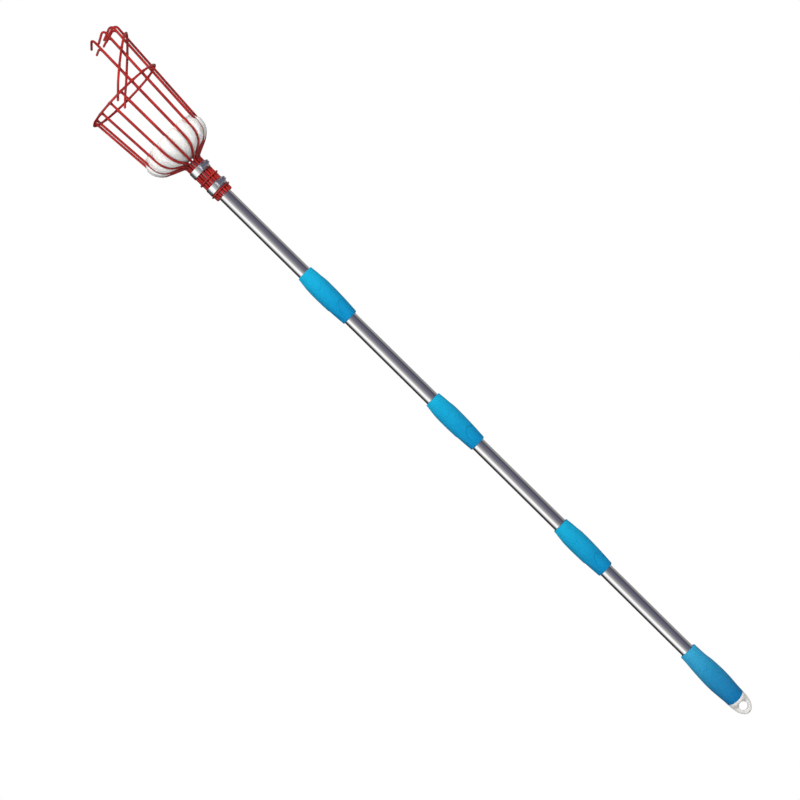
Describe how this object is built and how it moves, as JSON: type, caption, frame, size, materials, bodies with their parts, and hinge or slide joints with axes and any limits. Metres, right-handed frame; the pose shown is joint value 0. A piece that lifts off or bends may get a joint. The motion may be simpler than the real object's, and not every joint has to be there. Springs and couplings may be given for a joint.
{
  "type": "fruit picker",
  "caption": "Wire fruit picker basket with tall inward-bent fingers and a foam pad, clamped to a pole of steel tubes joined by screw sleeves, with a grip and a hanging cap.",
  "frame": {"origin": "on the pole's axis, in the middle of the handle grip", "axes": "+Z along the pole towards the basket, +X towards the side of the basket's tall fingers"},
  "size_m": [0.1452, 0.1406, 1.4985],
  "materials": {
    "red_coating": "glossy red plastic dip coating",
    "polished_steel": "polished stainless tube",
    "clamp_steel": "bright zinc-plated band",
    "sleeve_plastic": "satin light blue",
    "grip_plastic": "satin blue",
    "inner_plastic": "dark grey moulded",
    "cap_plastic": "off-white moulded",
    "foam": "soft off-white foam"
  },
  "bodies": {
    "handle_section": {"tube_4": "polished_steel", "sleeve_collar_3": "inner_plastic", "handle_grip": "grip_plastic", "end_cap": "cap_plastic"},
    "sleeve_3_nut": {"sleeve_3": "sleeve_plastic"},
    "section_3": {"tube_3": "polished_steel", "thread_plug_3": "inner_plastic", "sleeve_collar_2": "inner_plastic"},
    "sleeve_2_nut": {"sleeve_2": "sleeve_plastic"},
    "section_2": {"tube_2": "polished_steel", "thread_plug_2": "inner_plastic", "sleeve_collar_1": "inner_plastic"},
    "sleeve_1_nut": {"sleeve_1": "sleeve_plastic"},
    "section_1": {"tube_1": "polished_steel", "thread_plug_1": "inner_plastic", "tube_top_plug": "inner_plastic"},
    "basket": {"short_wire_1": "red_coating", "short_wire_2": "red_coating", "short_wire_3": "red_coating", "short_wire_4": "red_coating", "short_wire_5": "red_coating", "short_wire_6": "red_coating", "short_wire_7": "red_coating", "short_wire_8": "red_coating", "short_wire_9": "red_coating", "finger_wire_1": "red_coating", "finger_wire_2": "red_coating", "finger_wire_3": "red_coating", "finger_wire_4": "red_coating", "finger_wire_5": "red_coating", "finger_wire_6": "red_coating", "finger_wire_7": "red_coating", "rim_ring": "red_coating", "finger_hoop": "red_coating", "neck_ring_upper": "red_coating", "neck_ring_lower": "red_coating", "foam_pad": "foam"},
    "upper_clamp": {"upper_clamp_band": "clamp_steel", "upper_clamp_housing": "clamp_steel"},
    "lower_clamp": {"lower_clamp_band": "clamp_steel", "lower_clamp_housing": "clamp_steel"},
    "upper_screw": {"upper_clamp_screw": "clamp_steel"},
    "lower_screw": {"lower_clamp_screw": "clamp_steel"}
  },
  "joints": [
    {"name": "sleeve_3_turn", "type": "hinge", "parent": "handle_section", "child": "sleeve_3_nut", "pos_m": [0, 0, 0.24], "axis": [0, 0, -1], "range_deg": [0, 1800]},
    {"name": "section_3_unscrew", "type": "slide", "parent": "handle_section", "child": "section_3", "axis": [0, 0, 1], "range_m": [0, 0.02]},
    {"name": "sleeve_2_turn", "type": "hinge", "parent": "section_3", "child": "sleeve_2_nut", "pos_m": [0, 0, 0.527], "axis": [0, 0, -1], "range_deg": [0, 1800]},
    {"name": "section_2_unscrew", "type": "slide", "parent": "section_3", "child": "section_2", "axis": [0, 0, 1], "range_m": [0, 0.02]},
    {"name": "sleeve_1_turn", "type": "hinge", "parent": "section_2", "child": "sleeve_1_nut", "pos_m": [0, 0, 0.814], "axis": [0, 0, -1], "range_deg": [0, 1800]},
    {"name": "section_1_unscrew", "type": "slide", "parent": "section_2", "child": "section_1", "axis": [0, 0, 1], "range_m": [0, 0.02]},
    {"name": "basket_pull_off", "type": "slide", "parent": "section_1", "child": "basket", "axis": [0, 0, 1], "range_m": [0, 0.074]},
    {"name": "upper_clamp_swivel", "type": "hinge", "parent": "basket", "child": "upper_clamp", "pos_m": [0, 0, 1.151], "axis": [0, 0, 1], "continuous": true},
    {"name": "upper_screw_turn", "type": "hinge", "parent": "upper_clamp", "child": "upper_screw", "pos_m": [0.00895, -0.0201, 1.151], "axis": [0.9135, 0.4067, 0], "continuous": true},
    {"name": "lower_clamp_swivel", "type": "hinge", "parent": "basket", "child": "lower_clamp", "pos_m": [0, 0, 1.1135], "axis": [0, 0, 1], "continuous": true},
    {"name": "lower_screw_turn", "type": "hinge", "parent": "lower_clamp", "child": "lower_screw", "pos_m": [0.00895, -0.0201, 1.1135], "axis": [0.9135, 0.4067, 0], "continuous": true}
  ],
  "couplings": [
    {"joint": "section_3_unscrew", "follows": "sleeve_3_turn", "m_per_rad": 0.00063662},
    {"joint": "section_2_unscrew", "follows": "sleeve_2_turn", "m_per_rad": 0.00063662},
    {"joint": "section_1_unscrew", "follows": "sleeve_1_turn", "m_per_rad": 0.00063662}
  ]
}
